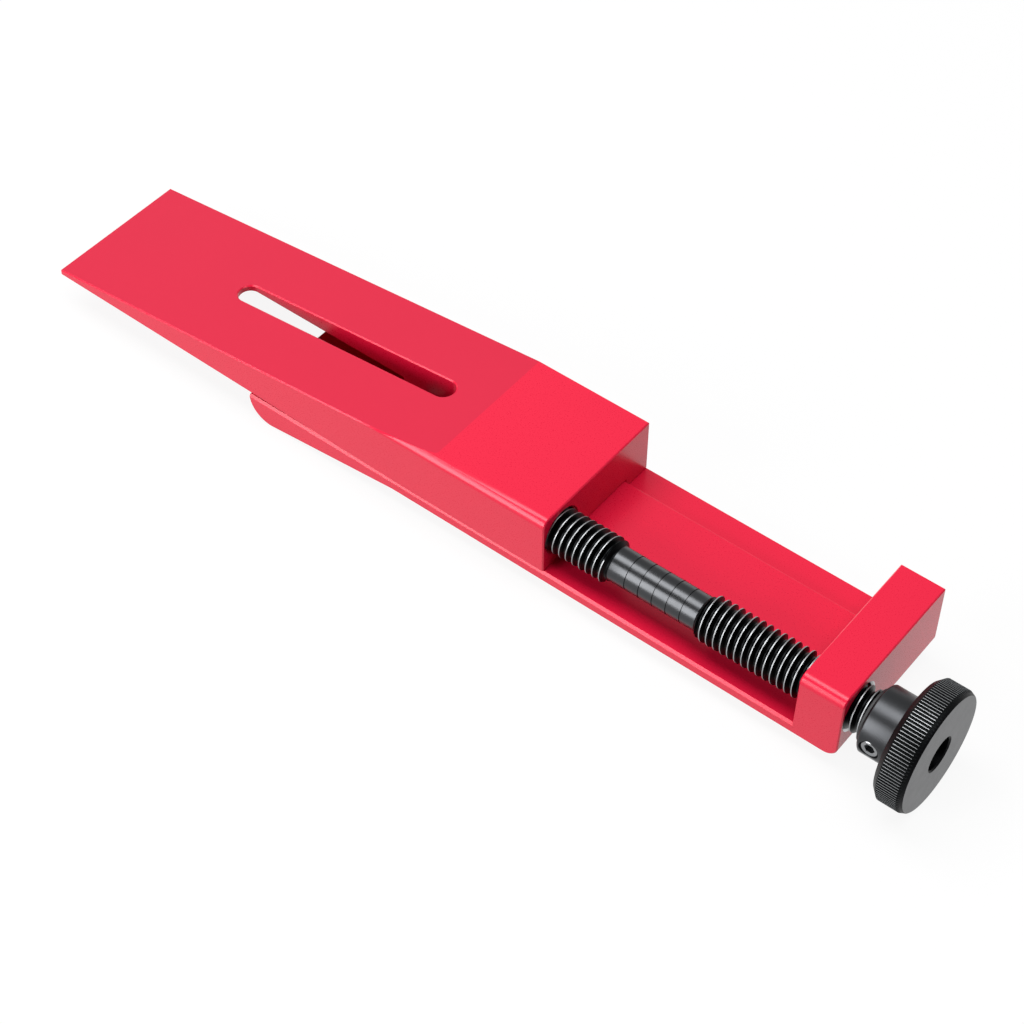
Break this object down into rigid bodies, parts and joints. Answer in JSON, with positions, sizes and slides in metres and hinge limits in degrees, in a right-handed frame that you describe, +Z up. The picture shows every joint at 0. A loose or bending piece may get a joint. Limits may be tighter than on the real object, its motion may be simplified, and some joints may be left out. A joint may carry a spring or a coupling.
{
  "type": "brake caliper piston tool",
  "caption": "Wedge-type brake caliper piston spreader: a slotted wedge jaw is driven along a railed base jaw by a left- and right-hand screw with a knurled knob.",
  "frame": {"origin": "centre of the flat underside of the base, under the middle of the tool's width", "axes": "+X along the tool towards the knob, +Z up through the wedge, +Y away from the screw"},
  "size_m": [0.2173, 0.0409, 0.0262],
  "materials": {
    "anodised_red": "fine blasted and anodised, satin",
    "black_oxide": "black oxide, satin",
    "bright_steel": "ground",
    "black_nylon": "moulded, matte"
  },
  "bodies": {
    "lower_jaw": {"base": "anodised_red", "guide_pin": "bright_steel"},
    "upper_jaw": {"wedge": "anodised_red"},
    "ring": {"stop_ring": "black_nylon"},
    "screw": {"spindle": "black_oxide", "knob": "black_oxide", "grub_screw": "bright_steel"}
  },
  "joints": [
    {"name": "wedge_slide", "type": "slide", "parent": "lower_jaw", "child": "upper_jaw", "axis": [1, 0, 0], "range_m": [-0.00556, 0.04731]},
    {"name": "screw_travel", "type": "slide", "parent": "lower_jaw", "child": "ring", "axis": [1, 0, 0], "range_m": [-0.00278, 0.02366]},
    {"name": "knob_turn", "type": "hinge", "parent": "ring", "child": "screw", "pos_m": [0, -0.0112, 0.0101], "axis": [1, 0, 0], "range_deg": [-630.1, 5364.1]}
  ],
  "couplings": [
    {"joint": "screw_travel", "follows": "wedge_slide", "ratio": 0.5},
    {"joint": "knob_turn", "follows": "wedge_slide", "rad_per_m": 1979}
  ]
}
